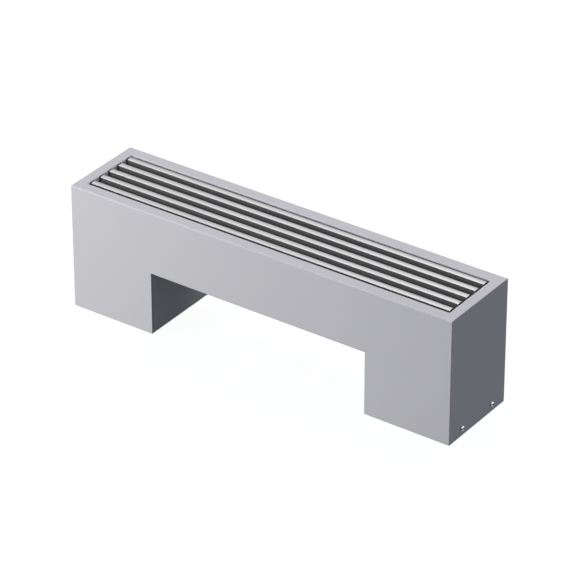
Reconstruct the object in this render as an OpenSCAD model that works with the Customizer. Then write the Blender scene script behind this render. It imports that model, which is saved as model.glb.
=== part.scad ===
// Free-standing floor convector for hot water, in millimetres.
// A bridge-shaped sheet-metal cover stands over two floor stands. The stands carry a finned
// heat exchanger, with its valves in the right leg and its return bend in the left leg.
// A linear grille lifts out of the cover's top.
// X runs along the length, the front faces -Y and Z is up.
// The origin is on the floor, under the middle of the cover.

/* [Cover] */
// Clear length between the two legs
bridge_l = 340; // [280:10:900]
// Length of each leg
leg_l = 130; // [126:2:180]
// Clear height under the bridge
leg_h = 92; // [60:2:200]
// Height of the body above the legs
body_h = 92; // [76:2:140]
// Depth of the cover from front to rear
cover_d = 130; // [124:2:200]
// Thickness of the cover's sheet
sheet_t = 1.5; // [1:0.25:2]
// Inner radius of the bends in the cover's sheet
bend_r = 0.6; // [0.4:0.1:1]
// Width of the cover's inner lips and flanges
lip_w = 12; // [8:1:13]

/* [Grille] */
// Width of the cover's rim in front of the grille and behind it
rim_long = 17.5; // [16:0.5:22]
// Width of the cover's rim at each end of the grille
rim_end = 15.5; // [12:0.5:22]
// Largest distance from one bar to the next
bar_spread = 20; // [17:0.5:26]
// Width of a bar
bar_w = 8.5; // [6:0.5:10]
// Height of a bar
bar_h = 18; // [14:1:20]
// Wall of a bar's hollow section
bar_wall = 1.3; // [1:0.1:2]
// Rounding of a bar's upper edges
bar_edge_r = 1; // [0.5:0.1:1.5]
// Height of a bar's crowned top above its edges
bar_crown = 0.5; // [0.2:0.1:1]
// Gap between the outer bars and the rim
side_gap = 4.05; // [3.5:0.05:6]
// Gap between the ends of the bars and the rim
end_gap = 2.25; // [1:0.25:3]
// Depth of the bars' tops below the rim
grille_drop = 0.3; // [0:0.1:2]
// Diameter of the tie rods through the bars
rod_d = 4; // [3:0.5:5]
// Thickness of the rubber pads under the bars
pad_t = 2; // [1:0.5:3]

/* [Exchanger] */
// Outside diameter of the copper tubes
tube_d = 15; // [12:1:16]
// Wall of the copper tubes
tube_wall = 1; // [0.7:0.1:1.2]
// Distance between the two copper tubes
tube_pitch = 50; // [46:1:60]
// Largest distance from one fin to the next
fin_pitch = 5; // [4:0.5:8]
// Thickness of a fin
fin_t = 0.5; // [0.3:0.1:0.8]
// Air gap between the fins and the cover's long walls
fin_side_gap = 13.5; // [13:0.5:20]
// Distance from the end of the fins to the nearer leg
fin_end_gap = 10; // [8:1:20]

/* [Valves] */
// Distance from the bridge to the valves' axes
valve_inset = 65; // [62:1:70]
// Radius of the bores for the floor pipes
port_r = 9.3; // [8:0.1:10]
// Length of the bores for the floor pipes
port_l = 12; // [10:1:13]
// Diameter of the flow valve's handwheel
wheel_d = 26; // [22:1:32]
// Lift of the flow valve's pin
pin_lift = 2.4; // [1.5:0.1:2.6]

/* [Stands] */
// Thickness of the floor stands' sheet
stand_t = 2; // [1.5:0.5:3]
// Thickness of the exchanger brackets' sheet
bracket_t = 1.5; // [1:0.25:2]
// Diameter of the holes for the floor anchors
anchor_d = 7; // [5:0.5:8]
// Distance between the two cover screws at each end
screw_pitch = 70; // [50:5:90]
// Height of the cover screws above the floor
screw_z = 11; // [9:1:16]
// Thread diameter of the cover screws
screw_d = 4; // [3:0.5:5]

/* [Hidden] */
// Clear size of the grille's opening, and the bars that share out its width
opening_l = bridge_l + 2 * (leg_l - rim_end);
opening_w = cover_d - 2 * rim_long;
bar_gaps = ceil((opening_w - 2 * side_gap - bar_w) / bar_spread);
bar_pitch = (opening_w - 2 * side_gap - bar_w) / bar_gaps;
bar_count = bar_gaps + 1;

$fn = 64;

// Overrun of every cut past the surface that it leaves
cut = 1;
// Radial clearance of soldered, screwed and pressed joints
fit = 0.1;
// Radial clearance of parts that turn or slide
running_fit = 0.08;
// Clearance between parts that are put together by hand
play = 0.5;
// Depth of a screw's socket or slot as a share of its head's height
socket_share = 0.6;
// Diameter left on the ends of a turned hexagon as a share of its width across flats
turned_share = 0.95;
// Slant of the corners of a turned hexagon
turned_slant = 30;

// Finishes
paint = [0.75, 0.75, 0.78];
anodised = [0.82, 0.82, 0.82];
aluminium = [0.72, 0.73, 0.75];
copper = [0.78, 0.47, 0.32];
brass = [0.8, 0.66, 0.36];
nickel = [0.7, 0.69, 0.66];
zinc = [0.6, 0.62, 0.65];
black = [0.12, 0.12, 0.13];
rubber = [0.09, 0.09, 0.09];
steel = [0.66, 0.67, 0.69];

// Overall sizes of the cover, and the inner faces of its walls
cover_l = bridge_l + 2 * leg_l;
cover_h = leg_h + body_h;
leg_x = bridge_l / 2;
inner_x = cover_l / 2 - sheet_t;
inner_y = cover_d / 2 - sheet_t;

// Length of the bars, their level and the level of the pads that carry them
bar_l = opening_l - 2 * end_gap;
bar_z = cover_h - grille_drop - bar_h;
seat_z = bar_z - pad_t;

// Cross supports under the grille
support_w = 15;
support_h = 9;
support_x_share = 1 / 6;
support_x = bar_l * support_x_share;

// Places of the stands: their gap to the leg's inner wall, their rise above the bridge and
// the width of their top flange
stand_gap = 2;
stand_rise = 2;
stand_flange = 22;
stand_x = leg_x + lip_w + stand_gap;
stand_z = leg_h + stand_rise;

// Levels of the exchanger between the stands and the grille's supports
air_gap = 6.7;
fin_l = bridge_l - 2 * fin_end_gap;
fin_w = 2 * (inner_y - fin_side_gap);
fin_z0 = stand_z + bracket_t + play;
fin_z1 = seat_z - support_h - air_gap;
tube_z = (fin_z0 + fin_z1) / 2;
tube_bore = tube_d - 2 * tube_wall;

// Soldered sockets on the copper tubes
socket_wall = 1.2;
socket_l = 12;
socket_d = tube_d + 2 * (fit + socket_wall);
tube_overhang = 45;
bend_x = leg_x + tube_overhang;

// Unions between the tubes and the valves, measured from each valve's axis
valve_x = leg_x + valve_inset;
union_d = tube_d + 6.5;
union_reach = 29;
gasket_t = 1.5;
tail_collar_t = 4.5;
tail_x = union_reach + gasket_t + tail_collar_t;

// Plate section extruded along the length, centred on it
module along_x(length) {
    rotate([90, 0, 90]) linear_extrude(length, center = true) children();
}

// Section seen from the front, extruded through the depth, centred on it
module along_y(depth) {
    rotate([90, 0, 0]) linear_extrude(depth, center = true) children();
}

// Copy on the right and mirrored copy on the left
module both_ends() {
    children();
    mirror([1, 0, 0]) children();
}

// Copy at the rear and mirrored copy at the front
module front_and_rear() {
    children();
    mirror([0, 1, 0]) children();
}

// What rounding takes off the upper right corner of a section at x, y
module corner_waste(x, y, r) {
    translate([x - r, y - r]) difference() {
        square(r + cut);
        circle(r);
    }
}

// Upright section with its two upper corners rounded
module arch_section(w, h, r, sunk = 0) {
    difference() {
        translate([-w / 2, -sunk]) square([w, h + sunk]);
        for (side = [0, 1]) mirror([side, 0]) corner_waste(w / 2, h, r);
    }
}

// Upright section with a crowned top that runs into its two rounded upper corners
module crowned_section(w, h, r, crown) {
    crown_r = (pow(w / 2, 2) + pow(crown, 2)) / (2 * crown);
    corner_x = w / 2 - r;
    corner_rise = sqrt(pow(crown_r - r, 2) - pow(corner_x, 2));
    corner_y = h - crown_r + corner_rise;
    wedge_x = corner_x * (crown_r + cut) / corner_rise;
    translate([-w / 2, 0]) square([w, corner_y]);
    for (side = [-1, 1]) translate([side * corner_x, corner_y]) circle(r);
    intersection() {
        translate([0, h - crown_r]) circle(crown_r);
        polygon([
            [-corner_x, corner_y], [corner_x, corner_y],
            [wedge_x, h + cut], [-wedge_x, h + cut]
        ]);
    }
}

// Rectangle with four rounded corners
module rounded_rectangle(l, w, r) {
    square([l - 2 * r, w], center = true);
    square([l, w - 2 * r], center = true);
    for (x = [-1, 1], y = [-1, 1]) translate([x * (l / 2 - r), y * (w / 2 - r)]) circle(r);
}

// Straight length of a folded strip that measures outside over a number of bends
function flat(outside, bends, t, r) = outside - bends * (r + t);

// Section of a strip of sheet folded to the left after each of its flat lengths
module folded_strip(flats, t, r, i = 0) {
    square([flats[i], t]);
    if (i < len(flats) - 1) translate([flats[i], r + t]) {
        difference() {
            intersection() {
                circle(r + t);
                translate([0, -r - t]) square(r + t);
            }
            circle(r);
        }
        translate([r + t, 0]) rotate(90) folded_strip(flats, t, r, i + 1);
    }
}

// Section of an opening whose upper edges are rolled over by radius r, with its top at y = 0
module rolled_section(w, depth, r, above) {
    difference() {
        translate([-w / 2 - r, -depth]) square([w + 2 * r, depth + above]);
        for (side = [0, 1]) mirror([side, 0]) {
            translate([w / 2, -depth - cut]) square([r + cut, depth + cut - r]);
            translate([w / 2 + r, -r]) circle(r);
        }
    }
}

// Rectangular opening with rolled edges that meet in mitred corners
module rolled_opening(l, w, depth, r, above) {
    intersection() {
        along_x(l + 2 * (r + cut)) rolled_section(w, depth, r, above);
        along_y(w + 2 * (r + cut)) rolled_section(l, depth, r, above);
    }
}

// Round bar between two places along X
module rod_x(x0, x1, d) {
    translate([x0, 0, 0]) rotate([0, 90, 0]) cylinder(d = d, h = x1 - x0);
}

// Round tube between two places along X
module tube_x(x0, x1, d, bore) {
    difference() {
        rod_x(x0, x1, d);
        rod_x(x0 - cut, x1 + cut, bore);
    }
}

// Hexagon bar standing on z = 0, measured across its flats
module hexagon(flats, h) {
    cylinder(d = flats / cos(30), h = h, $fn = 6);
}

// Hexagon bar whose corners are turned off at a slant at both ends
module turned_hexagon(flats, h) {
    end_r = turned_share * flats / 2;
    outer_r = flats / 2 / cos(30) + cut;
    slant_h = (outer_r - end_r) * tan(turned_slant);
    intersection() {
        hexagon(flats, h);
        rotate_extrude() polygon([
            [0, 0], [end_r, 0], [outer_r, slant_h],
            [outer_r, h - slant_h], [end_r, h], [0, h]
        ]);
    }
}

// Screw with a domed head on z = 0 and its shank below; the children cut its socket or slot
module dome_screw(d, l, dome_d, dome_h) {
    dome_r = (pow(dome_d / 2, 2) + pow(dome_h, 2)) / (2 * dome_h);
    socket_floor = dome_h * (1 - socket_share);
    difference() {
        union() {
            intersection() {
                translate([0, 0, dome_h - dome_r]) sphere(dome_r);
                cylinder(r = dome_r, h = dome_h);
            }
            translate([0, 0, -l]) cylinder(d = d, h = l + socket_floor);
        }
        translate([0, 0, socket_floor]) children();
    }
}

// Front, top and rear of the cover, folded from one sheet

// Width of the ledges that carry the ends of the grille
ledge_w = 12;

module casing_wrap() {
    bend = bend_r + sheet_t;
    color(paint) {
        difference() {
            union() {
                difference() {
                    along_x(2 * inner_x) difference() {
                        arch_section(cover_d, cover_h, bend);
                        arch_section(2 * inner_y, cover_h - sheet_t, bend_r, cut);
                    }
                    translate([-leg_x, -cover_d / 2 - cut, -cut])
                        cube([bridge_l, cover_d + 2 * cut, leg_h + bend + cut]);
                }
                translate([0, 0, cover_h - sheet_t]) rolled_opening(opening_l + 2 * sheet_t,
                    opening_w + 2 * sheet_t, cover_h - sheet_t - seat_z, bend_r, sheet_t / 2);
            }
            translate([0, 0, cover_h])
                rolled_opening(opening_l, opening_w, cover_h - seat_z + cut, bend, cut);
            both_ends() translate([opening_l / 2 - cut, play - opening_w / 2, seat_z - cut])
                cube([2 * cut + sheet_t, opening_w - 2 * play, cut + bend_r]);
        }
        both_ends() grille_ledge();
        front_and_rear() bridge_lip();
    }
}

// Ledge bent inwards at the foot of the opening's end flange
module grille_ledge() {
    along_y(opening_w - 2 * play) translate([opening_l / 2 - ledge_w, seat_z - sheet_t])
        folded_strip([flat(ledge_w + sheet_t, 1, sheet_t, bend_r), cut], sheet_t, bend_r);
}

// Lip bent inwards along the lower edge of the bridge
module bridge_lip() {
    along_x(bridge_l) translate([cover_d / 2 - lip_w, leg_h])
        folded_strip([flat(lip_w, 1, sheet_t, bend_r), cut], sheet_t, bend_r);
}

// End panel of the cover, with return flanges inside the wrap

// Rounding of the end panel's outer edges
panel_edge_r = 0.8;

module end_panel() {
    return_w = rim_end - 2 * sheet_t - bend_r - play;
    color(paint) translate([inner_x, 0, 0]) difference() {
        union() {
            intersection() {
                rotate([90, 0, 90]) linear_extrude(sheet_t)
                    arch_section(cover_d, cover_h, bend_r + sheet_t);
                along_y(cover_d + 2 * cut) difference() {
                    square([sheet_t, cover_h]);
                    corner_waste(sheet_t, cover_h, panel_edge_r);
                }
                linear_extrude(cover_h) difference() {
                    translate([0, -cover_d / 2]) square([sheet_t, cover_d]);
                    for (side = [0, 1]) mirror([0, side])
                        corner_waste(sheet_t, cover_d / 2, panel_edge_r);
                }
            }
            front_and_rear() translate([-return_w, inner_y - sheet_t, play])
                cube([return_w + sheet_t / 2, sheet_t, cover_h - 2 * sheet_t - bend_r - 2 * play]);
            translate([-return_w, 2 * sheet_t - inner_y, cover_h - 2 * sheet_t])
                cube([return_w + sheet_t / 2, 2 * (inner_y - 2 * sheet_t), sheet_t]);
        }
        for (side = [-1, 1]) translate([-cut, side * screw_pitch / 2, screw_z])
            rotate([0, 90, 0]) cylinder(d = screw_d + play, h = sheet_t + 2 * cut);
    }
}

// Inner wall of a leg, with flanges welded to the cover's front and rear

module leg_panel() {
    bend = bend_r + sheet_t;
    color(paint) {
        linear_extrude(leg_h - bend) translate([leg_x + lip_w, inner_y]) rotate(180)
            folded_strip([
                flat(lip_w, 1, sheet_t, bend_r),
                flat(2 * inner_y, 2, sheet_t, bend_r),
                flat(lip_w, 1, sheet_t, bend_r)
            ], sheet_t, bend_r);
        along_y(2 * (inner_y - bend - play)) translate([leg_x + lip_w, leg_h]) rotate(180)
            folded_strip([flat(lip_w, 1, sheet_t, bend_r), cut], sheet_t, bend_r);
    }
}

// Cross support of the grille: a channel between the long walls, with a tab at each end

// Height of the tabs that are welded to the walls
support_tab_h = 16;

module grille_support() {
    color(zinc) translate([support_x, 0, 0]) {
        along_y(2 * inner_y) translate([support_w / 2, seat_z - support_h]) rotate(90)
            folded_strip([
                flat(support_h, 1, sheet_t, bend_r),
                flat(support_w, 2, sheet_t, bend_r),
                flat(support_h, 1, sheet_t, bend_r)
            ], sheet_t, bend_r);
        front_and_rear()
            translate([-support_w / 2, inner_y - sheet_t, seat_z - support_tab_h])
            cube([support_w, sheet_t, support_tab_h]);
    }
}

// Rubber strips between the grille and what carries it

// Distance of the strips from the edges of the ledge and the supports
pad_inset = 2;

module grille_pads() {
    color(rubber) both_ends() for (x = [support_x, opening_l / 2 - ledge_w / 2])
        translate([x, 0, seat_z + pad_t / 2])
        cube([ledge_w - 2 * pad_inset, opening_w - 2 * pad_inset - 2 * play, pad_t], center = true);
}

// Grille: hollow bars on four tie rods, held apart by moulded spacers

// Number of tie rods, and the distance of the outer ones from the bars' ends
rod_count = 4;
rod_inset = 28;
// Height of the tie rods above the undersides of the bars
rod_rise = 5;
// Outside diameter of the spacers and of the caps on the rods' ends
spacer_d = 8;
// Length of a rod's cap, and the part of it that the rod fills
rod_cap_l = 2.2;
rod_cap_depth = 1.6;

grille_w = bar_gaps * bar_pitch + bar_w;

function bar_y(i) = (i - 1 - bar_gaps / 2) * bar_pitch;

module at_rods() {
    rod_x = bar_l / 2 - rod_inset;
    for (i = [0 : rod_count - 1])
        translate([rod_x * (2 * i / (rod_count - 1) - 1), 0, bar_z + rod_rise])
        rotate([90, 0, 0]) children();
}

module grille_bar(i) {
    color(anodised) translate([0, bar_y(i), 0]) difference() {
        along_x(bar_l) translate([0, bar_z]) difference() {
            crowned_section(bar_w, bar_h, bar_edge_r, bar_crown);
            translate([bar_wall - bar_w / 2, bar_wall])
                square([bar_w - 2 * bar_wall, bar_h - bar_crown - 2 * bar_wall]);
        }
        at_rods() cylinder(d = rod_d + 2 * fit, h = bar_w + 2 * cut, center = true);
    }
}

module grille_rods() {
    color(steel) at_rods() cylinder(d = rod_d, h = grille_w + 2 * rod_cap_depth, center = true);
}

module grille_spacers() {
    gap = bar_pitch - bar_w;
    color(black) at_rods() for (i = [1 : bar_gaps])
        translate([0, 0, bar_y(i) + bar_w / 2]) difference() {
            cylinder(d = spacer_d, h = gap);
            translate([0, 0, -cut]) cylinder(d = rod_d + 2 * fit, h = gap + 2 * cut);
        }
}

module grille_rod_caps() {
    color(black) at_rods() for (side = [0, 1]) mirror([0, 0, side])
        translate([0, 0, grille_w / 2]) difference() {
            cylinder(d = spacer_d, h = rod_cap_l);
            translate([0, 0, -cut]) cylinder(d = rod_d + 2 * fit, h = rod_cap_depth + cut);
        }
}

// Heat exchanger: fins pressed on two copper tubes, with collars that touch the next fin

// Wall of the fins' collars
collar_wall = 0.5;

module fin_block() {
    gaps = floor(fin_l / fin_pitch);
    step = (fin_l - fin_t) / gaps;
    bore = tube_d + 2 * fit;
    color(aluminium) difference() {
        union() {
            for (i = [0 : gaps]) translate([i * step - fin_l / 2, -fin_w / 2, fin_z0])
                cube([fin_t, fin_w, fin_z1 - fin_z0]);
            front_and_rear() translate([0, tube_pitch / 2, tube_z])
                rod_x(-fin_l / 2, fin_l / 2, bore + 2 * collar_wall);
        }
        front_and_rear() translate([0, tube_pitch / 2, tube_z])
            rod_x(-fin_l / 2 - cut, fin_l / 2 + cut, bore);
    }
}

module copper_tube(side) {
    color(copper) translate([0, side * tube_pitch / 2, tube_z])
        tube_x(-bend_x, valve_x - tail_x, tube_d, tube_bore);
}

// Return bend that joins the two tubes in the left leg, with a boss for the air vent

// Diameter and height of the vent's boss above the tube's axis, and its thread
boss_d = 12;
boss_h = tube_d / 2 + 4;
vent_thread_d = 8;

module half_ring(d) {
    rotate([0, 0, 90]) rotate_extrude(angle = 180) translate([tube_pitch / 2, 0]) circle(d = d);
}

module return_bend() {
    color(copper) translate([-bend_x, 0, tube_z]) difference() {
        union() {
            half_ring(tube_d);
            front_and_rear() translate([0, tube_pitch / 2, 0])
                rod_x(-socket_wall, socket_l, socket_d);
            translate([-tube_pitch / 2, 0, 0]) cylinder(d = boss_d, h = boss_h);
        }
        half_ring(tube_bore);
        front_and_rear() translate([0, tube_pitch / 2, 0])
            rod_x(0, socket_l + cut, tube_d + 2 * fit);
        translate([-tube_pitch / 2, 0, 0]) cylinder(d = vent_thread_d, h = boss_h + cut);
    }
}

// Manual air vent: a body screwed in the bend's boss and a key-operated screw

// Across flats and height of the vent's hexagon, and its neck above
vent_hex = 13;
vent_hex_h = 5;
vent_neck_d = 9;
vent_neck_h = 6;
// Thread of the vent's screw, the square on its top and the bore of its outlet
vent_screw_d = 4.5;
vent_square = 5;
vent_square_h = 5;
vent_outlet_d = 4;
vent_outlet_l = 7;
vent_bore_d = 1.6;
vent_seat_h = 2;

module at_vent() {
    translate([-bend_x - tube_pitch / 2, 0, tube_z + boss_h]) children();
}

module air_vent_body() {
    top = vent_hex_h + vent_neck_h;
    stub = boss_h - tube_d / 2 + tube_wall;
    outlet_z = vent_hex_h + vent_neck_h / 2;
    color(nickel) at_vent() difference() {
        union() {
            translate([0, 0, -stub]) cylinder(d = vent_thread_d - 2 * fit, h = stub + cut);
            turned_hexagon(vent_hex, vent_hex_h);
            cylinder(d = vent_neck_d, h = top);
            translate([0, 0, outlet_z]) rotate([0, -90, 0])
                cylinder(d = vent_outlet_d, h = vent_neck_d / 2 + vent_outlet_l);
        }
        translate([0, 0, -stub - cut]) cylinder(d = vent_bore_d, h = stub + top);
        translate([0, 0, vent_seat_h]) cylinder(d = vent_screw_d, h = top);
        translate([0, 0, outlet_z]) rotate([0, -90, 0])
            cylinder(d = vent_bore_d, h = vent_neck_d / 2 + vent_outlet_l + cut);
    }
}

module air_vent_screw() {
    top = vent_hex_h + vent_neck_h + play;
    d = vent_screw_d - 2 * running_fit;
    color(steel) at_vent() {
        translate([0, 0, vent_seat_h + play]) cylinder(d1 = vent_bore_d, d2 = d, h = vent_seat_h);
        translate([0, 0, 2 * vent_seat_h + play]) cylinder(d = d, h = top - 2 * vent_seat_h);
        translate([-vent_square / 2, -vent_square / 2, top])
            cube([vent_square, vent_square, vent_square_h]);
    }
}

// Bracket at each end of the fins: a cheek plate with a foot on the stand

// Width of the cheek plate's top flange, and the step of its foot back from the stand's flange
cheek_flange = 10;
foot_step = 2;
// Neck wall, flange step and flange thickness of the grommets in the cheek plates
grommet_wall = 1.6;
grommet_step = 2;
grommet_t = 1.2;
// Thread, length and head of the bracket's screws, and their nuts
bracket_screw_d = 5;
bracket_screw_l = 9;
bracket_head_d = 9.5;
bracket_head_h = 2.75;
bracket_socket = 3;
bracket_nut = 8;
bracket_nut_h = 4;

grommet_neck = tube_d + 2 * (fit + grommet_wall);
bracket_screw_x = stand_x + (stand_flange + stand_t) / 2;
bracket_screw_y = fin_w / 2 - 2 * bracket_screw_d;

module exchanger_bracket() {
    foot_end = stand_x + stand_flange - foot_step;
    color(zinc) difference() {
        along_y(fin_w) translate([fin_l / 2 + cheek_flange, fin_z1]) rotate(180)
            folded_strip([
                flat(cheek_flange, 1, bracket_t, bend_r),
                flat(fin_z1 - stand_z, 2, bracket_t, bend_r),
                flat(foot_end - fin_l / 2, 1, bracket_t, bend_r)
            ], bracket_t, bend_r);
        front_and_rear() {
            translate([fin_l / 2 - cut, tube_pitch / 2, tube_z]) rotate([0, 90, 0])
                cylinder(d = grommet_neck + 2 * fit, h = bracket_t + 2 * cut);
            translate([bracket_screw_x, bracket_screw_y, stand_z - cut])
                cylinder(d = bracket_screw_d + play, h = bracket_t + 2 * cut);
        }
    }
}

module tube_grommets() {
    color(black) both_ends() front_and_rear() translate([fin_l / 2, tube_pitch / 2, tube_z])
        rotate([0, 90, 0]) difference() {
            union() {
                cylinder(d = grommet_neck, h = bracket_t + grommet_t);
                translate([0, 0, bracket_t])
                    cylinder(d = grommet_neck + 2 * grommet_step, h = grommet_t);
            }
            translate([0, 0, -cut])
                cylinder(d = tube_d + 2 * fit, h = bracket_t + grommet_t + 2 * cut);
        }
}

module at_bracket_screws() {
    both_ends() front_and_rear() translate([bracket_screw_x, bracket_screw_y, 0]) children();
}

module bracket_screws() {
    color(steel) at_bracket_screws() translate([0, 0, stand_z + bracket_t])
        dome_screw(bracket_screw_d, bracket_screw_l, bracket_head_d, bracket_head_h)
        hexagon(bracket_socket, bracket_head_h);
}

module bracket_nuts() {
    color(zinc) at_bracket_screws() translate([0, 0, stand_z - stand_t - bracket_nut_h])
        difference() {
            turned_hexagon(bracket_nut, bracket_nut_h);
            translate([0, 0, -cut])
                cylinder(d = bracket_screw_d + 2 * fit, h = bracket_nut_h + 2 * cut);
        }
}

// Floor stand in each leg, folded from one sheet, with a slot for the floor pipes

// Height of the end flange that the cover is screwed to
end_flange_h = 22;
// Step of the stand back from the cover's long walls
stand_side_gap = 8.5;
// Length of the pipe slot, its distance from the stand's long edges and its corner radius
slot_l = 60;
slot_edge = 10;
slot_r = 6;
// Distance of the anchor holes from the stand's long edges
anchor_inset = 15;
// Inner radius of the stand's bends
stand_bend_r = 1;
// Clinch nuts: neck in the flange, body behind it
clinch_neck_d = screw_d + 2.4;
clinch_body_d = screw_d + 4.4;
clinch_body_l = 3;

stand_w = 2 * (inner_y - stand_side_gap);
anchor_x0 = (stand_x + stand_t + valve_x - slot_l / 2) / 2;
anchor_x1 = (valve_x + slot_l / 2 + inner_x - stand_t) / 2;
anchor_y = stand_w / 2 - anchor_inset;

module stand() {
    color(black) difference() {
        along_y(stand_w) translate([stand_x + stand_flange, stand_z]) rotate(180)
            folded_strip([
                flat(stand_flange, 1, stand_t, stand_bend_r),
                flat(stand_z, 2, stand_t, stand_bend_r),
                flat(inner_x - stand_x, 2, stand_t, stand_bend_r),
                flat(end_flange_h, 1, stand_t, stand_bend_r)
            ], stand_t, stand_bend_r);
        translate([valve_x, 0, -cut]) linear_extrude(stand_t + 2 * cut)
            rounded_rectangle(slot_l, stand_w - 2 * slot_edge, slot_r);
        front_and_rear() {
            for (x = [anchor_x0, anchor_x1]) translate([x, anchor_y, -cut])
                cylinder(d = anchor_d, h = stand_t + 2 * cut);
            translate([bracket_screw_x, bracket_screw_y, stand_z - stand_t - cut])
                cylinder(d = bracket_screw_d + play, h = stand_t + 2 * cut);
            translate([inner_x - stand_t - cut, screw_pitch / 2, screw_z]) rotate([0, 90, 0])
                cylinder(d = clinch_neck_d + 2 * fit, h = stand_t + 2 * cut);
        }
    }
}

module clinch_nuts() {
    color(zinc) both_ends() front_and_rear()
        translate([inner_x - stand_t - clinch_body_l, screw_pitch / 2, screw_z])
        rotate([0, 90, 0]) difference() {
            union() {
                cylinder(d = clinch_body_d, h = clinch_body_l);
                cylinder(d = clinch_neck_d, h = clinch_body_l + stand_t);
            }
            translate([0, 0, -cut])
                cylinder(d = screw_d + 2 * fit, h = clinch_body_l + stand_t + 2 * cut);
        }
}

// Slotted screws through the end panels, with their slots level

// Length of the cover screws, their heads and the width of their slots
screw_l = 10;
head_d = 2 * screw_d;
head_h = 2.2;
screw_slot_w = 1.2;

module cover_screws() {
    color(steel) both_ends() front_and_rear()
        translate([cover_l / 2, screw_pitch / 2, screw_z]) rotate([0, 90, 0])
        dome_screw(screw_d, screw_l, head_d, head_h)
        translate([-screw_slot_w / 2, -head_d, 0]) cube([screw_slot_w, 2 * head_d, head_h]);
}

// Unions: tails soldered to the tubes, flat gaskets and nuts

// Length of a tail's socket
tail_socket_l = 14;
// Union nut: across flats, length, and its end wall behind the tail's collar
union_nut = union_d + 5.5;
union_nut_l = 20;
union_nut_wall = 2.5;

// Places children on the valves' side outlets, with X towards the exchanger
module at_unions() {
    front_and_rear() translate([valve_x, tube_pitch / 2, tube_z]) rotate([0, 0, 180]) children();
}

module pipe_tails() {
    color(brass) at_unions() difference() {
        union() {
            rod_x(tail_x - tail_collar_t, tail_x, union_d);
            rod_x(tail_x - tail_collar_t, tail_x + tail_socket_l, socket_d);
        }
        rod_x(tail_x - tail_collar_t - cut, tail_x + cut, tube_bore);
        rod_x(tail_x, tail_x + tail_socket_l + cut, tube_d + 2 * fit);
    }
}

module union_gaskets() {
    color(rubber) at_unions() tube_x(union_reach, union_reach + gasket_t, union_d, tube_bore);
}

module union_nuts() {
    back = tail_x + union_nut_wall;
    color(nickel) at_unions() translate([back, 0, 0]) rotate([0, -90, 0]) difference() {
        turned_hexagon(union_nut, union_nut_l);
        translate([0, 0, -cut]) cylinder(d = socket_d + 2 * fit, h = union_nut_l);
        translate([0, 0, union_nut_wall]) cylinder(d = union_d + 2 * fit, h = union_nut_l);
    }
}

// Angle valves: each body turns the flow from its floor pipe to the exchanger's tube

// Barrel of the body, its depth below the tubes' axis and its height above
barrel_d = 26;
barrel_depth = 26;
barrel_rise = 13;
// Hexagon round the floor connection
port_hex = 27;
port_hex_h = 8;
// Valve seat above the floor connection, and the chamber above the seat
seat_bore = 11;
seat_l = 3;
chamber_d = 17;
side_bore = 13;
// Bonnet: thread in the chamber, hexagon, and the neck that the handwheel turns on
bonnet_thread_l = 5.5;
bonnet_hex = 22;
bonnet_hex_h = 5;
neck_d = 14;
neck_h = 5;

seat_top = port_l + seat_l - barrel_depth;
neck_top = barrel_rise + bonnet_hex_h + neck_h;

module at_flow_valve() {
    translate([valve_x, -tube_pitch / 2, tube_z]) children();
}

module at_return_valve() {
    translate([valve_x, tube_pitch / 2, tube_z]) children();
}

module angle_valve_body() {
    color(nickel) difference() {
        union() {
            translate([0, 0, -barrel_depth]) {
                cylinder(d = barrel_d, h = barrel_depth + barrel_rise);
                turned_hexagon(port_hex, port_hex_h);
            }
            rotate([0, -90, 0]) cylinder(d = union_d, h = union_reach);
        }
        translate([0, 0, -barrel_depth - cut]) {
            cylinder(r = port_r, h = port_l + cut);
            cylinder(d = seat_bore, h = barrel_depth);
        }
        translate([0, 0, seat_top]) cylinder(d = chamber_d, h = barrel_depth + barrel_rise);
        rotate([0, -90, 0]) cylinder(d = side_bore, h = union_reach + cut);
    }
}

// Bonnet with a bore for a pin or spindle of diameter d
module bonnet(d) {
    color(brass) difference() {
        union() {
            translate([0, 0, barrel_rise - bonnet_thread_l])
                cylinder(d = chamber_d - 2 * fit, h = bonnet_thread_l + cut);
            translate([0, 0, barrel_rise]) turned_hexagon(bonnet_hex, bonnet_hex_h);
            translate([0, 0, barrel_rise]) cylinder(d = neck_d, h = bonnet_hex_h + neck_h);
        }
        translate([0, 0, barrel_rise - bonnet_thread_l - cut])
            cylinder(d = d + 2 * running_fit, h = neck_top);
    }
}

// Flow valve: a pin with a rubber-faced disc, moved by the handwheel

// Pin and disc
pin_d = 4;
pin_above_neck = 4;
disc_t = 1.5;
disc_rim = 1.2;
washer_t = 2;
// Handwheel: skirt over the neck, wall over the pin, and the flutes round its rim
wheel_gap = 1;
wheel_wall = 1.8;
wheel_edge_r = 1.5;
flute_count = 12;
flute_r = 2;
flute_depth = 0.9;

disc_d = seat_bore + 2 * disc_rim;
wheel_z = barrel_rise + bonnet_hex_h + wheel_gap;
cavity_top = neck_top + pin_above_neck + pin_lift + play;

module valve_pin() {
    foot = seat_top + washer_t;
    color(steel) at_flow_valve() translate([0, 0, foot]) {
        cylinder(d = disc_d, h = disc_t);
        cylinder(d = pin_d, h = neck_top + pin_above_neck - foot);
    }
}

module valve_washer() {
    color(rubber) at_flow_valve() translate([0, 0, seat_top + fit])
        cylinder(d = disc_d, h = washer_t - fit);
}

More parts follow.
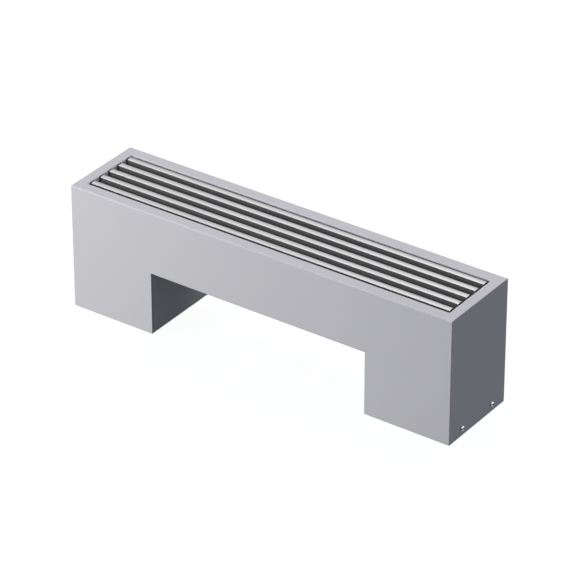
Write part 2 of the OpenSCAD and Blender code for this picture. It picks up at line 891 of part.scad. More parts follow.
module handwheel() {
    wheel_h = cavity_top + wheel_wall - wheel_z;
    color(black) at_flow_valve() translate([0, 0, wheel_z]) difference() {
        rotate_extrude() difference() {
            square([wheel_d / 2, wheel_h]);
            corner_waste(wheel_d / 2, wheel_h, wheel_edge_r);
        }
        for (i = [0 : flute_count - 1]) rotate([0, 0, i * 360 / flute_count])
            translate([wheel_d / 2 + flute_r - flute_depth, 0, -cut])
            cylinder(r = flute_r, h = wheel_h + 2 * cut);
        translate([0, 0, -cut])
            cylinder(d = neck_d + 2 * running_fit, h = neck_top + play - wheel_z + cut);
        cylinder(d = pin_d + 2 * play, h = cavity_top - wheel_z);
    }
}

// Return valve: a lockshield spindle set with a hexagon key, under a screwed cap

// Spindle, its cone, its gap above the seat and its socket
spindle_d = 6;
cone_d = 10;
cone_h = 4;
spindle_open = 3;
spindle_socket = 3;
spindle_socket_h = 4;
// Cap over the neck
cap_wall = 2.4;
cap_top = 1.6;

module lockshield_spindle() {
    foot = seat_top + spindle_open;
    top = neck_top - play;
    color(steel) at_return_valve() difference() {
        translate([0, 0, foot]) {
            cylinder(d1 = spindle_d, d2 = cone_d, h = cone_h);
            cylinder(d = spindle_d, h = top - foot);
        }
        translate([0, 0, top - spindle_socket_h]) hexagon(spindle_socket, spindle_socket_h + cut);
    }
}

module lockshield_cap() {
    foot = barrel_rise + bonnet_hex_h;
    inside = neck_h + play;
    color(black) at_return_valve() translate([0, 0, foot]) difference() {
        rotate_extrude() difference() {
            square([neck_d / 2 + cap_wall, inside + cap_top]);
            corner_waste(neck_d / 2 + cap_wall, inside + cap_top, wheel_edge_r / 2);
        }
        translate([0, 0, -cut]) cylinder(d = neck_d + 2 * running_fit, h = inside + cut);
    }
}

casing_wrap();
mirror([1, 0, 0]) end_panel();  // end_panel_left
end_panel();  // end_panel_right
mirror([1, 0, 0]) leg_panel();  // leg_panel_left
leg_panel();  // leg_panel_right
mirror([1, 0, 0]) grille_support();  // grille_support_left
grille_support();  // grille_support_right
grille_pads();
for (i = [1 : bar_count]) grille_bar(i);
grille_rods();
grille_spacers();
grille_rod_caps();
fin_block();
copper_tube(-1);  // copper_tube_front
copper_tube(1);  // copper_tube_rear
return_bend();
air_vent_body();
air_vent_screw();
tube_grommets();
mirror([1, 0, 0]) exchanger_bracket();  // exchanger_bracket_left
exchanger_bracket();  // exchanger_bracket_right
bracket_screws();
bracket_nuts();
mirror([1, 0, 0]) stand();  // stand_left
stand();  // stand_right
cover_screws();
clinch_nuts();
pipe_tails();
union_gaskets();
union_nuts();
at_flow_valve() angle_valve_body();  // flow_valve_body
at_flow_valve() bonnet(pin_d);  // flow_valve_bonnet
valve_pin();
valve_washer();
handwheel();
at_return_valve() angle_valve_body();  // return_valve_body
at_return_valve() bonnet(spindle_d);  // lockshield_bonnet
lockshield_spindle();
lockshield_cap();
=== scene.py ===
"""Floor convector: a folded sheet cover on two legs over a finned heat exchanger, seen from the
front right. Metres, X along the length, front towards -Y, Z up, floor at Z = 0."""
from math import cos, pi, radians, sin

import bmesh
import bpy
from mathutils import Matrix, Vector


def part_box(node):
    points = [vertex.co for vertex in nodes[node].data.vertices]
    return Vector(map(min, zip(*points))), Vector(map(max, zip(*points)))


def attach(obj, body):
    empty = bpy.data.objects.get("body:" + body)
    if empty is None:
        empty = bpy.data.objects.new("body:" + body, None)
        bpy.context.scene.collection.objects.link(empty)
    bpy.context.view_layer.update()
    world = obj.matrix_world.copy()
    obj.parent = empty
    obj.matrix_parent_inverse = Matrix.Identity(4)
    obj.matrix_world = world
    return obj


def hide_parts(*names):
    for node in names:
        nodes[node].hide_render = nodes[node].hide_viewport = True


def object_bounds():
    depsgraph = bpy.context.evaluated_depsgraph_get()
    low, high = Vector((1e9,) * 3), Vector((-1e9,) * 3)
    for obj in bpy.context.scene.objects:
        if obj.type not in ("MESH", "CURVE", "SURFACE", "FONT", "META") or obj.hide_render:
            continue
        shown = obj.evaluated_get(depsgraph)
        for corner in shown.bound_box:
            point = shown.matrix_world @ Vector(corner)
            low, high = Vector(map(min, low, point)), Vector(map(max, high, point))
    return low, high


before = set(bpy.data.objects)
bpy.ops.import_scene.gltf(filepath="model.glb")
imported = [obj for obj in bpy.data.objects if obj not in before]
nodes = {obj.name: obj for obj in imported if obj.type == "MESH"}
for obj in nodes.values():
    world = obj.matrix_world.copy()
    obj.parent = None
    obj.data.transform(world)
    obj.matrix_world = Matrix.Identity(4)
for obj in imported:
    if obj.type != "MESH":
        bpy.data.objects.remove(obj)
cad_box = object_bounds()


# Camera. A long lens on a stand to the front right, tilted down, so that the cover's front, its
# top with the grille and its right end are seen together.
lens_mm = 231.5
view_reach_m = 50.0
camera_place = (2.4087, -3.4082, 2.5955)
camera_tilt = radians(30.93)
camera_turn = radians(35.16)

camera_data = bpy.data.cameras.new("camera")
camera_data.lens = lens_mm
camera_data.clip_end = view_reach_m
camera = bpy.data.objects.new("camera", camera_data)
camera.location = camera_place
camera.rotation_euler = (pi / 2 - camera_tilt, 0.0, camera_turn)
bpy.context.scene.collection.objects.link(camera)
bpy.context.scene.camera = camera
bpy.context.scene.view_settings.view_transform = "Standard"


# Room. A pale seamless floor in a white room, with a large soft lamp low to the front left and
# one behind and above. Floor and room are white to the camera and to metal, and dimmer otherwise.
white = (1.0, 1.0, 1.0)
room_tone = (0.292, 0.314, 0.366)
floor_tone = (0.06, 0.065, 0.078)
floor_glow = 0.96
floor_half_m = 12.0
leg_shade_share = 0.92
leg_wall_m = 0.0015


class Wire:
    """An output of a shader node. Arithmetic on wires and numbers adds Math nodes."""

    def __init__(self, tree, socket=None):
        self.tree = tree
        self.socket = socket

    def node(self, kind, inputs, output=0, **settings):
        """Adds a node: first its settings, then the values or wires of its sockets. Colours have
        three numbers, and one number is a grey."""
        made = self.tree.nodes.new(kind)
        for name, value in settings.items():
            setattr(made, name, value)
        for name, value in inputs.items():
            socket = made.inputs[name]
            if isinstance(value, Wire):
                self.tree.links.new(value.socket, socket)
            elif socket.type == "RGBA":
                colour = value if isinstance(value, tuple) else (value, value, value)
                socket.default_value = (*colour, 1.0)
            else:
                socket.default_value = value
        return Wire(self.tree, made.outputs[output] if made.outputs else None)

    def math(self, operation, first, second=0.0):
        """Math node with these two inputs."""
        return self.node("ShaderNodeMath", {0: first, 1: second}, operation=operation)

    def __add__(self, other):
        return self.math("ADD", self, other)

    def __sub__(self, other):
        return self.math("SUBTRACT", self, other)

    def __rsub__(self, other):
        return self.math("SUBTRACT", other, self)

    def __mul__(self, other):
        return self.math("MULTIPLY", self, other)

    __radd__ = __add__
    __rmul__ = __mul__

    def size(self):
        """The value without its sign."""
        return self.math("ABSOLUTE", self)

    def clamp(self):
        """The value, held between nought and one."""
        return self.math("MINIMUM", self.math("MAXIMUM", self, 0.0), 1.0)

    def swing(self, amount):
        """How far a cloudy value is from its middle of a half, times an amount."""
        return (self - 0.5) * amount

    def step(self, low, high):
        """Nought below low, one above high and a smooth rise between them."""
        return self.node("ShaderNodeMapRange", {"Value": self, "From Min": low, "From Max": high},
                         interpolation_type="SMOOTHSTEP")

    def between(self, low, high):
        """Colour that goes from low to high as this wire goes from nought to one."""
        return self.node("ShaderNodeMix", {0: self, 6: low, 7: high}, output=2, data_type="RGBA")

    def tinted(self, other):
        """This colour times another."""
        return self.node("ShaderNodeMix", {0: 1.0, 6: self, 7: other}, output=2,
                         data_type="RGBA", blend_type="MULTIPLY")

    def part(self, axis):
        """X, Y or Z of a place or a direction."""
        return self.node("ShaderNodeSeparateXYZ", {"Vector": self}, output=axis)


def seen(start):
    """One for a ray from the camera, from a glossy surface or through a clear one."""
    rays = [start.node("ShaderNodeLightPath", {}, output=name)
            for name in ("Is Camera Ray", "Is Glossy Ray", "Is Transmission Ray")]
    return (rays[0] + rays[1] + rays[2]).clamp()


def empty_tree(owner):
    """Wire to start from in the emptied node tree of a world or a material."""
    owner.use_nodes = True
    owner.node_tree.nodes.clear()
    return Wire(owner.node_tree)


world = bpy.data.worlds.new("room")
bpy.context.scene.world = world
room = empty_tree(world)
dim_room = room.node("ShaderNodeBackground", {"Color": room_tone})
white_room = room.node("ShaderNodeBackground", {"Color": white})
room_mix = room.node("ShaderNodeMixShader", {0: seen(room), 1: dim_room, 2: white_room})
room.node("ShaderNodeOutputWorld", {"Surface": room_mix})


def new_piece(name, shape):
    """Object at the origin with the mesh that is in this bmesh."""
    mesh = bpy.data.meshes.new(name)
    shape.to_mesh(mesh)
    shape.free()
    piece = bpy.data.objects.new(name, mesh)
    bpy.context.scene.collection.objects.link(piece)
    return piece


floor_shape = bmesh.new()
bmesh.ops.create_grid(floor_shape, x_segments=1, y_segments=1, size=floor_half_m)
floor = new_piece("floor", floor_shape)
floor_finish = bpy.data.materials.new("pale_floor")
ground = empty_tree(floor_finish)
matt = ground.node("ShaderNodeBsdfDiffuse", {"Color": floor_tone})
spot = ground.node("ShaderNodeTexCoord", {}, output="Object")
off_middle, off_axis = spot.part("X").size(), spot.part("Y").size()
leg_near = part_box("leg_panel_right")[0][0]
leg_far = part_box("end_panel_right")[1][0] - leg_wall_m
leg_side = cad_box[1][1] - leg_wall_m
# Painted shadow: the floor's glow is dimmed inside the legs.
in_leg = (off_middle.step(leg_near, leg_near + leg_wall_m)
          * (1 - off_middle.step(leg_far - leg_wall_m, leg_far))
          * (1 - off_axis.step(leg_side - leg_wall_m, leg_side)))
glow = ground.node("ShaderNodeEmission",
                   {"Color": white,
                    "Strength": seen(ground) * floor_glow * (1 - in_leg * leg_shade_share)})
ground.node("ShaderNodeOutputMaterial",
            {"Surface": ground.node("ShaderNodeAddShader", {0: matt, 1: glow})})
floor.data.materials.append(floor_finish)


def softbox(name, place, target, side_m, watts, colour):
    """Square area lamp that faces the target."""
    lamp_data = bpy.data.lights.new(name, "AREA")
    lamp_data.shape = "SQUARE"
    lamp_data.size = side_m
    lamp_data.energy = watts
    lamp_data.color = colour
    lamp = bpy.data.objects.new(name, lamp_data)
    lamp.location = place
    lamp.rotation_euler = (Vector(target) - Vector(place)).to_track_quat("-Z", "Y").to_euler()
    bpy.context.scene.collection.objects.link(lamp)


softbox("front_left_lamp", place=(-1.3, -1.82, 0.66), target=(-0.05, 0.0, 0.1),
        side_m=1.0, watts=50.0, colour=(1.0, 0.99, 0.985))
softbox("rear_top_lamp", place=(0.1, 1.0, 2.05), target=(0.05, 0.0, 0.18),
        side_m=1.2, watts=27.3, colour=(1.0, 0.96, 0.946))


# Cover. Front, top and rear are one folded steel sheet, with the end panels and the legs' inner
# walls welded in. All of it is powder-coated silver grey. A darker copy of the coat on the inner
# walls is painted shade, and shade is painted on the coat behind the ends of the grille's bars.
coat_colour = (0.522, 0.519, 0.535)
coat_spread = 0.3
coat_tone_reach = 0.1
coat_gloss = 0.15
coat_rough = 0.46
coat_relief_m = 0.000006
peel_m = 0.0013
speck_m = 0.00035
speck_weight = 1.4
speck_rough = 0.1
speck_relief_share = 0.25
cloud_m = 0.14
cloud_rough = 0.08
# Share of the coat's colour on the legs' inner walls, as painted shade.
leg_wall_painted_shade_share = 0.775
# Painted shade on the coat behind the ends of the bars: its darkness, reach and streaks.
painted_shade_share = 0.12
bar_shade_edge_m = 0.0006
bar_shade_reach_m = 0.003
bar_shade_fade_m = 0.001
bar_shade_streaks_m = (0.01, 0.0012, 0.006)
bar_shade_least_share = 0.72
bar_shade_streak_share = 0.5


def new_finish(name, **sockets):
    """Material, a wire to start from, its Object coordinates and its principled shader."""
    material = bpy.data.materials.new(name)
    material.use_nodes = True
    shader = material.node_tree.nodes["Principled BSDF"]
    for socket, value in sockets.items():
        shader.inputs[socket.replace("_", " ")].default_value = value
    start = Wire(material.node_tree)
    place = start.node("ShaderNodeTexCoord", {}, output="Object")
    return material, start, place, shader


def plug(material, shader, **wires):
    """Links wires to the principled shader's sockets."""
    for socket, wire in wires.items():
        material.node_tree.links.new(wire.socket, shader.inputs[socket.replace("_", " ")])


def noise(place, size, detail=2.0, roughness=0.5):
    """Cloudy values from nought to one, with lumps of about this size in metres."""
    return place.node("ShaderNodeTexNoise", {"Vector": place, "Scale": 1.0 / size,
                                             "Detail": detail, "Roughness": roughness})


def streaks(place, lengths, detail=3.0, roughness=0.6):
    """Cloudy values whose lumps have these lengths in metres along X, Y and Z."""
    shrunk = place.node("ShaderNodeVectorMath", {0: place, 1: tuple(1 / m for m in lengths)},
                        operation="MULTIPLY")
    return noise(shrunk, 1.0, detail, roughness)


def bump(height, metres):
    """Normal of a surface raised by up to this many metres."""
    return height.node("ShaderNodeBump", {"Height": height, "Distance": metres})


def shaded(colour, share):
    """The colour times a share."""
    return tuple(c * share for c in colour)


def dress(material, *names):
    """Gives CAD nodes this finish."""
    for name in names:
        slots = nodes[name].data.materials
        slots.clear()
        slots.append(material)


def powder_coat(name, colour, spread, painted_shade_mask=None):
    """Sprayed and stoved powder: a fine orange peel with tiny specks, and a faint cloudiness.
    The last argument, a function, says from a place where shade is painted dark on the coat."""
    material, start, place, shader = new_finish(name, Specular_IOR_Level=coat_gloss)
    peel = noise(place, peel_m, detail=1.0)
    specks = noise(place, speck_m, detail=0.0)
    clouds = noise(place, cloud_m)
    tone = clouds.swing(spread) + specks.swing(spread * speck_weight) + 0.5
    coat = tone.between(shaded(colour, 1 - coat_tone_reach), shaded(colour, 1 + coat_tone_reach))
    if painted_shade_mask:
        # Painted shade, where the given function says.
        coat = painted_shade_mask(place).between(coat, shaded(colour, painted_shade_share))
    plug(material, shader, Base_Color=coat,
         Roughness=coat_rough + clouds.swing(cloud_rough) + specks.swing(speck_rough),
         Normal=bump(peel + specks * speck_relief_share, coat_relief_m))
    return material


def painted_shade_behind_bar_ends(place):
    """One on the ends of the grille's opening behind the ends of the bars, where shade is painted
    dark on the coat in streaks.
    """
    front_bar, next_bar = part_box("grille_bar_1"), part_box("grille_bar_2")
    half_pitch = abs(next_bar[0][1] - front_bar[0][1]) / 2
    half_width = (front_bar[1][1] - front_bar[0][1]) / 2
    bar_shade_end = front_bar[1][0] + bar_shade_reach_m
    bar_shade_side = abs(front_bar[0][1]) + bar_shade_reach_m
    shade_streaks = streaks(place, bar_shade_streaks_m)
    off_bar = place.math("PINGPONG", place.part("Y").size(), half_pitch)
    edge = off_bar + shade_streaks.swing(bar_shade_edge_m * 2)
    wear_and_shade = 1 - edge.step(half_width - bar_shade_edge_m, half_width + bar_shade_edge_m)
    inwards = 1 - place.part("X").size().step(bar_shade_end, bar_shade_end + bar_shade_fade_m)
    inner = 1 - place.part("Y").size().step(bar_shade_side, bar_shade_side + bar_shade_fade_m)
    below = (front_bar[1][2] - place.part("Z")).step(0.0, bar_shade_fade_m)
    strength = (bar_shade_least_share + shade_streaks * bar_shade_streak_share).clamp()
    return wear_and_shade * inwards * inner * below * strength


dress(powder_coat("silver_grey_coat", coat_colour, coat_spread, painted_shade_behind_bar_ends),
      "casing_wrap", "end_panel_left", "end_panel_right")
# The legs' inner walls get a darker copy of the coat, as painted shade.
dress(powder_coat("silver_grey_coat_painted_shade", shaded(coat_colour, leg_wall_painted_shade_share), coat_spread),
      "leg_panel_left", "leg_panel_right")


# Grille bars. Hollow extruded aluminium, dyed dark all over and then ground bright on the crowned
# top, with the belt's fine lines and the die's broader ones along the bar.
bar_top_painted_shade = (0.385, 0.385, 0.383)
bar_top_painted_highlight = (0.65, 0.65, 0.645)
bar_side_high = (0.074, 0.074, 0.075)
bar_side_painted_light = (0.26, 0.26, 0.262)
painted_light_fade_m = 0.009
ground_slopes = (0.45, 0.68)
highlight_slopes = (-0.15, 0.3)
belt_lines_m = (0.12, 0.0005, 0.0005)
belt_spread = 0.7
belt_shares = (0.88, 1.1)
belt_rough = 0.14
handled_m = 0.05
handled_spread = 0.4
die_lines_m = (0.6, 0.0011, 0.0011)
die_shares = (0.75, 1.25)
dyed_metallic = 0.15
ground_metallic = 0.45
bar_rough = 0.54
bar_relief_m = 0.000004


def ground_bar(name):
    """Bright ground metal on faces that look up, with a painted highlight on those tilted to the
    front and painted shade on those tilted to the rear, and dark dyed metal on the others, with
    painted light that makes it paler lower down between the bars."""
    material, start, place, shader = new_finish(name)
    facing = start.node("ShaderNodeNewGeometry", {}, output="Normal")
    top = facing.part("Z").step(*ground_slopes)
    # Painted highlight on faces tilted to the front, painted shade on faces tilted to the rear.
    front = (0 - facing.part("Y")).step(*highlight_slopes)
    # Painted light on the dark sides, paler lower down where shade falls between the bars.
    low = (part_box("grille_bar_1")[1][2] - place.part("Z")).step(0.0, painted_light_fade_m)
    belt = streaks(place, belt_lines_m)
    die = streaks(place, die_lines_m, detail=2.0)
    handled = noise(place, handled_m)
    tone = (belt.swing(belt_spread) + handled.swing(handled_spread) + 0.5).clamp()
    bright = front.between(bar_top_painted_shade, bar_top_painted_highlight).tinted(tone.between(*belt_shares))
    dark = low.between(bar_side_high, bar_side_painted_light).tinted(die.between(*die_shares))
    plug(material, shader, Base_Color=top.between(dark, bright),
         Metallic=dyed_metallic + top * (ground_metallic - dyed_metallic),
         Roughness=bar_rough + belt.swing(belt_rough),
         Normal=bump(belt * top + die * (1 - top), bar_relief_m))
    return material


grille_bars = [name for name in nodes if name.startswith("grille_bar_")]
dress(ground_bar("ground_aluminium"), *grille_bars)


# Tie rods and spacers of the grille. Drawn steel rods in moulded black spacers, both in the
# shade between the bars.
steel_colour = (0.6, 0.6, 0.6)
steel_rough = 0.24
tool_line_m = 0.0004
tool_line_reach_m = 0.02
tool_line_spread = 0.5
tool_line_rough = 0.14
tool_relief_m = 0.000005
stain_m = 0.011
stain_spread = 0.5
stain_rough = 0.12
stained_share = 0.78
plastic_colour = (0.02, 0.02, 0.021)
rubbed_plastic_colour = (0.042, 0.042, 0.0439)
plastic_rough = 0.5
plastic_grain_m = 0.0005
plastic_grain_rough = 0.2
plastic_relief_m = 0.00003
handling_m = 0.008
handling_levels = (0.56, 0.75)
handling_polish = 0.08


def tooled_metal(name, colour, axis, rough):
    """Metal with fine lines that follow each other along an axis, as turning or drawing leaves
    them, and faint stains."""
    material, start, place, shader = new_finish(name, Metallic=1.0)
    lengths = [tool_line_m if letter == axis else tool_line_reach_m for letter in "XYZ"]
    lines = streaks(place, lengths, detail=2.0)
    stains = noise(place, stain_m, detail=3.0)
    tone = (lines.swing(tool_line_spread) + stains.swing(stain_spread) + 0.5).clamp()
    plug(material, shader, Base_Color=tone.between(shaded(colour, stained_share), colour),
         Roughness=rough + lines.swing(tool_line_rough) + stains.swing(stain_rough),
         Normal=bump(lines, tool_relief_m))
    return material


def moulded_plastic(name):
    """Black plastic with an even spark-eroded grain, rubbed a little paler in places."""
    material, start, place, shader = new_finish(name)
    grain = noise(place, plastic_grain_m)
    wear_and_shade = noise(place, handling_m, detail=3.0).step(*handling_levels)
    plug(material, shader, Base_Color=wear_and_shade.between(plastic_colour, rubbed_plastic_colour),
         Roughness=plastic_rough + grain.swing(plastic_grain_rough) - wear_and_shade * handling_polish,
         Normal=bump(grain, plastic_relief_m))
    return material


bright_steel = tooled_metal("bright_steel", steel_colour, "X", steel_rough)
black_plastic = moulded_plastic("black_plastic")
dress(bright_steel, "grille_rods")
dress(black_plastic, "grille_spacers")


# Caps of the tie rods. Moulded black plastic, a low dome with a gate mark in its middle, pressed
# over the rod's end and against the outer face of the front or rear bar.
cap_radius_m = 0.004
cap_length_m = 0.0022
cap_dome_m = 0.0009
cap_foot_m = 0.00025
cap_bore_m = 0.00205
cap_bore_depth_m = 0.0016
gate_radius_m = 0.0006
gate_depth_m = 0.00012
gate_floor_share = 0.8
dome_angles = range(0, 81, 10)
cap_crease = radians(35)
rod_count = 4
turn_steps = 48
merge_m = 0.000001


def turn(shape, profile, centre, axis, closed=False):
    """Adds the solid that this profile of (along, radius) sweeps in a full turn about an axis."""
    axis = Vector(axis)
    sideways = Vector((0.0, 0.0, 1.0))
    corners = [shape.verts.new(Vector(centre) + axis * along + sideways * radius)
               for along, radius in profile]
    pairs = list(zip(corners, corners[1:])) + ([(corners[-1], corners[0])] if closed else [])
    edges = [shape.edges.new(pair) for pair in pairs]
    bmesh.ops.spin(shape, geom=corners + edges, cent=centre, axis=axis, angle=2 * pi,
                   steps=turn_steps, use_merge=True, use_duplicate=False)


def finished(name, shape, material, body, crease):
    """Closed piece with smooth faces between creases, which rides on a body."""
    bmesh.ops.remove_doubles(shape, verts=shape.verts, dist=merge_m)
    bmesh.ops.recalc_face_normals(shape, faces=shape.faces)
    for face in shape.faces:
        face.smooth = True
    piece = new_piece(name, shape)
    piece.data.set_sharp_from_angle(angle=crease)
    piece.data.materials.append(material)
    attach(piece, body)
    return piece


mouth_profile = [(cap_bore_depth_m, 0.0), (cap_bore_depth_m, cap_bore_m), (0.0, cap_bore_m),
                 (0.0, cap_radius_m - cap_foot_m), (cap_foot_m, cap_radius_m)]
dome_profile = [(cap_length_m - cap_dome_m * (1 - sin(radians(a))), cap_radius_m * cos(radians(a)))
                for a in dome_angles]
gate_profile = [(cap_length_m - gate_depth_m, gate_radius_m * gate_floor_share),
                (cap_length_m - gate_depth_m, 0.0)]
cap_low, cap_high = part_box("grille_rod_caps")
outer_rod = cap_high[0] - cap_radius_m
cap_shape = bmesh.new()
for i in range(rod_count):
    rod_x = outer_rod * (2 * i / (rod_count - 1) - 1)
    for side in (-1, 1):
        seat = (rod_x, side * (cap_high[1] - cap_length_m), (cap_low[2] + cap_high[2]) / 2)
        turn(cap_shape, mouth_profile + dome_profile + gate_profile, seat, (0.0, side, 0.0))
caps = finished("rod_end_caps", cap_shape, black_plastic, "grille", cap_crease)
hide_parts("grille_rod_caps")


# Rubber pads, gaskets and the valve's washer. Cut from black sheet rubber, which has a chalky
# bloom; the pads lie between the grille and its supports.
rubber_colour = (0.014, 0.014, 0.014)
bloom_colour = (0.04, 0.04, 0.042)
rubber_rough = 0.78
rubber_grain_m = 0.0007
rubber_grain_rough = 0.2
rubber_relief_m = 0.00002
bloom_m = 0.012
bloom_levels = (0.45, 0.8)


def sheet_rubber(name):
    """Dull rubber with a fine grain and a paler bloom in patches."""
    material, start, place, shader = new_finish(name)
    grain = noise(place, rubber_grain_m, detail=3.0)
    bloom = noise(place, bloom_m, detail=3.0).step(*bloom_levels)
    plug(material, shader, Base_Color=bloom.between(rubber_colour, bloom_colour),
         Roughness=rubber_rough + grain.swing(rubber_grain_rough),
         Normal=bump(grain, rubber_relief_m))
    return material


dress(sheet_rubber("black_rubber"), "grille_pads", "union_gaskets", "valve_washer")


# Supports, brackets and nuts. Folded from hot-dip galvanised steel sheet, with the flat crystals
# of the zinc; the nuts have the same coat.
zinc_dark = (0.3, 0.315, 0.34)
zinc_light = (0.5, 0.52, 0.55)
zinc_metallic = 0.85
zinc_rough = 0.34
spangle_m = 0.006
spangle_share = 0.6
spangle_rough = 0.2
zinc_stain_m = 0.02
zinc_relief_m = 0.00003


def galvanised(name):
    """Zinc whose crystals differ in tone and gloss, with faint stains over them."""
    material, start, place, shader = new_finish(name, Metallic=zinc_metallic)
    crystals = place.node("ShaderNodeTexVoronoi", {"Vector": place, "Scale": 1.0 / spangle_m},
                          output="Color").part("X")
    stains = noise(place, zinc_stain_m, detail=3.0)
    tone = crystals * spangle_share + stains * (1 - spangle_share)
    plug(material, shader, Base_Color=tone.between(zinc_dark, zinc_light),
         Roughness=zinc_rough + crystals * spangle_rough,
         Normal=bump(stains, zinc_relief_m))
    return material


dress(galvanised("galvanised_sheet"), "grille_support_left", "grille_support_right",
      "exchanger_bracket_left", "exchanger_bracket_right", "bracket_nuts", "clinch_nuts")


# Fin block. Thin aluminium fins with drawn collars, which set their distance, pressed on the two
# tubes in one stack.
foil_dark = (0.42, 0.43, 0.445)
foil_light = (0.7, 0.71, 0.73)
foil_metallic = 0.9
foil_rough = 0.3
foil_relief_m = 0.00005
mill_lines_m = (0.02, 0.0006, 0.03)
mill_share = 0.55
mill_relief_share = 0.3
dent_m = 0.015
dent_rough = 0.2


def rolled_foil(name):
    """Foil with the mill's lines, dented and dulled a little by handling."""
    material, start, place, shader = new_finish(name, Metallic=foil_metallic)
    rolling = streaks(place, mill_lines_m)
    dents = noise(place, dent_m, detail=3.0)
    tone = rolling * mill_share + dents * (1 - mill_share)
    plug(material, shader, Base_Color=tone.between(foil_dark, foil_light),
         Roughness=foil_rough + dents * dent_rough,
         Normal=bump(rolling * mill_relief_share + dents, foil_relief_m))
    return material


dress(rolled_foil("rolled_aluminium"), "fin_block")


# Copper tubes and return bend. Hard-drawn copper with the die's lines along the tubes, tarnished
# in patches by the torch and by handling.
copper_colour = (0.74, 0.36, 0.22)
tarnish_colour = (0.42, 0.2, 0.13)
copper_rough = 0.26
copper_lines_m = (0.1, 0.0009, 0.0009)
copper_line_rough = 0.08
copper_relief_m = 0.000006
tarnish_m = 0.018
tarnish_levels = (0.42, 0.72)
tarnish_rough = 0.2


def drawn_copper(name):
    """Copper with fine lines along X, duller and darker where it is tarnished."""
    material, start, place, shader = new_finish(name, Metallic=1.0)
    lines = streaks(place, copper_lines_m, detail=2.0, roughness=0.5)
    tarnish = noise(place, tarnish_m, detail=4.0, roughness=0.6).step(*tarnish_levels)
    plug(material, shader, Base_Color=tarnish.between(copper_colour, tarnish_colour),
         Roughness=copper_rough + tarnish * tarnish_rough + lines.swing(copper_line_rough),
         Normal=bump(lines, copper_relief_m))
    return material


dress(drawn_copper("drawn_copper"), "copper_tube_front", "copper_tube_rear", "return_bend")


# Solder fillets. Tin solder drawn into each socket of the return bend and the pipe tails, with
# a thin concave ring standing round the mouth.
solder_colour = (0.6, 0.6, 0.58)
solder_skin_share = 0.7
solder_rough = 0.26
solder_relief_m = 0.0002
lump_m = 0.0022
frost_m = 0.0005
frost_rough = 0.2
frost_relief_share = 0.2
solder_reach_m = 0.0019
solder_rise_m = 0.0011
solder_sink_m = 0.00004
solder_crease = radians(60)
fillet_angles = (15, 30, 45, 60, 75)


def tin_solder(name):
    """Tin with a frosty skin, lumpy where it froze."""
    material, start, place, shader = new_finish(name, Metallic=1.0)
    lumps = noise(place, lump_m)
    frost = noise(place, frost_m)
    plug(material, shader,
         Base_Color=lumps.between(shaded(solder_colour, solder_skin_share), solder_colour),
         Roughness=solder_rough + frost.swing(frost_rough),
         Normal=bump(lumps + frost * frost_relief_share, solder_relief_m))
    return material


tube_low, tube_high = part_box("copper_tube_front")
tube_y, tube_z = [(tube_low[i] + tube_high[i]) / 2 for i in (1, 2)]
tube_radius = (tube_high[1] - tube_low[1]) / 2
sunk_radius = tube_radius - solder_sink_m
risen_radius = tube_radius + solder_rise_m
hollow_profile = [(solder_reach_m * (1 - cos(radians(a))),
                   risen_radius - solder_rise_m * sin(radians(a))) for a in fillet_angles]
fillet_profile = [(0.0, sunk_radius), (0.0, risen_radius), *hollow_profile,
                  (solder_reach_m, sunk_radius)]
bend_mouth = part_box("return_bend")[1][0]
tail_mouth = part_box("pipe_tails")[0][0]
solder_shape = bmesh.new()
for mouth, away in ((bend_mouth, 1), (tail_mouth, -1)):
    for side in (-1, 1):
        turn(solder_shape, fillet_profile, (mouth, side * abs(tube_y), tube_z),
             (away, 0.0, 0.0), closed=True)
finished("solder_fillets", solder_shape, tin_solder("tin_solder"), "convector",
         solder_crease)


# Air vent, valves and unions. Brass bodies and nuts with a matt nickel plate, plain turned brass
# bonnets and tails, bright steel pins and screws, and moulded grommets, handwheel and cap.
nickel_colour = (0.62, 0.6, 0.56)
nickel_rough = 0.36
brass_colour = (0.73, 0.54, 0.25)
brass_rough = 0.26

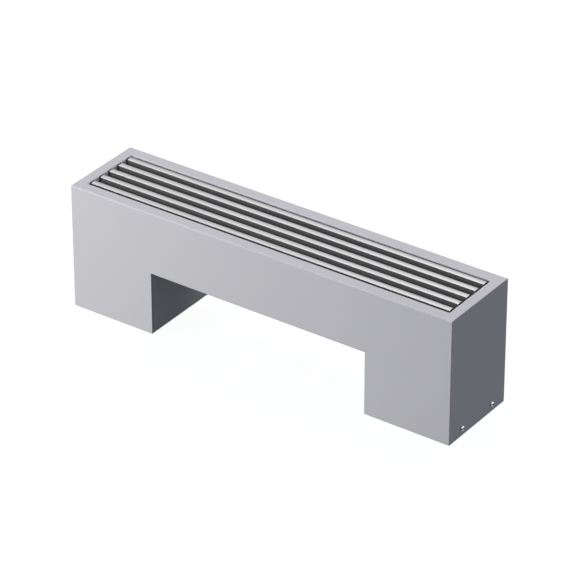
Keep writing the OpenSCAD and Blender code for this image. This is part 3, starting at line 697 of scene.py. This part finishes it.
dress(tooled_metal("matt_nickel", nickel_colour, "Z", nickel_rough),
      "air_vent_body", "union_nuts", "flow_valve_body", "return_valve_body")
dress(tooled_metal("turned_brass", brass_colour, "Z", brass_rough),
      "pipe_tails", "flow_valve_bonnet", "lockshield_bonnet")
dress(bright_steel, "air_vent_screw", "bracket_screws", "valve_pin", "lockshield_spindle")
dress(black_plastic, "tube_grommets", "handwheel", "lockshield_cap")


# Floor stands. One in each leg, folded from steel sheet with a thin black powder coat; they
# carry the exchanger's brackets and hold the cover by its screws.
stand_colour = (0.022, 0.022, 0.024)
stand_spread = 0.5

dress(powder_coat("black_coat", stand_colour, stand_spread), "stand_left", "stand_right")


# Cover screws. Slotted steel screws with a bright nickel plate, with painted shade in and beside
# the slot and towards the rim of the head, through the end panels into the clinch nuts of the
# stands.
screw_colour = (0.9, 0.9, 0.89)
slot_painted_shade_colour = (0.012, 0.012, 0.013)
slot_gloss = 0.05
slot_rough = 0.62
plate_rough = 0.22
slot_shade_m = 0.00105
slot_shade_fade_m = 0.0001
head_radius_m = 0.004
rim_start_share = 0.6
rim_shade_share = 0.8
screw_grain_m = 0.0004
screw_grain_rough = 0.1
screw_relief_m = 0.000003


def plated_screw(name):
    """Bright plate with painted shade within and beside the slot, which lies level through the
    axis, and towards the rim of the head, so that only glints above and below the slot stay
    bright."""
    material, start, place, shader = new_finish(name, Specular_IOR_Level=slot_gloss)
    low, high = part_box("cover_screws")
    off_slot = (place.part("Z") - (low[2] + high[2]) / 2).size()
    along_slot = place.part("Y").size() - (high[1] - head_radius_m)
    squared = off_slot * off_slot + along_slot * along_slot
    rim = squared.step((head_radius_m * rim_start_share) ** 2, head_radius_m ** 2)
    # Painted shade in and beside the slot and towards the rim of the head.
    unshaded_plate = (off_slot.step(slot_shade_m - slot_shade_fade_m, slot_shade_m + slot_shade_fade_m)
              * (1 - rim * rim_shade_share))
    grain = noise(place, screw_grain_m)
    rough = slot_rough - unshaded_plate * (slot_rough - plate_rough)
    plug(material, shader, Base_Color=unshaded_plate.between(slot_painted_shade_colour, screw_colour),
         Metallic=unshaded_plate,
         Roughness=rough + grain.swing(screw_grain_rough),
         Normal=bump(grain, screw_relief_m))
    return material


dress(plated_screw("plated_screw"), "cover_screws")
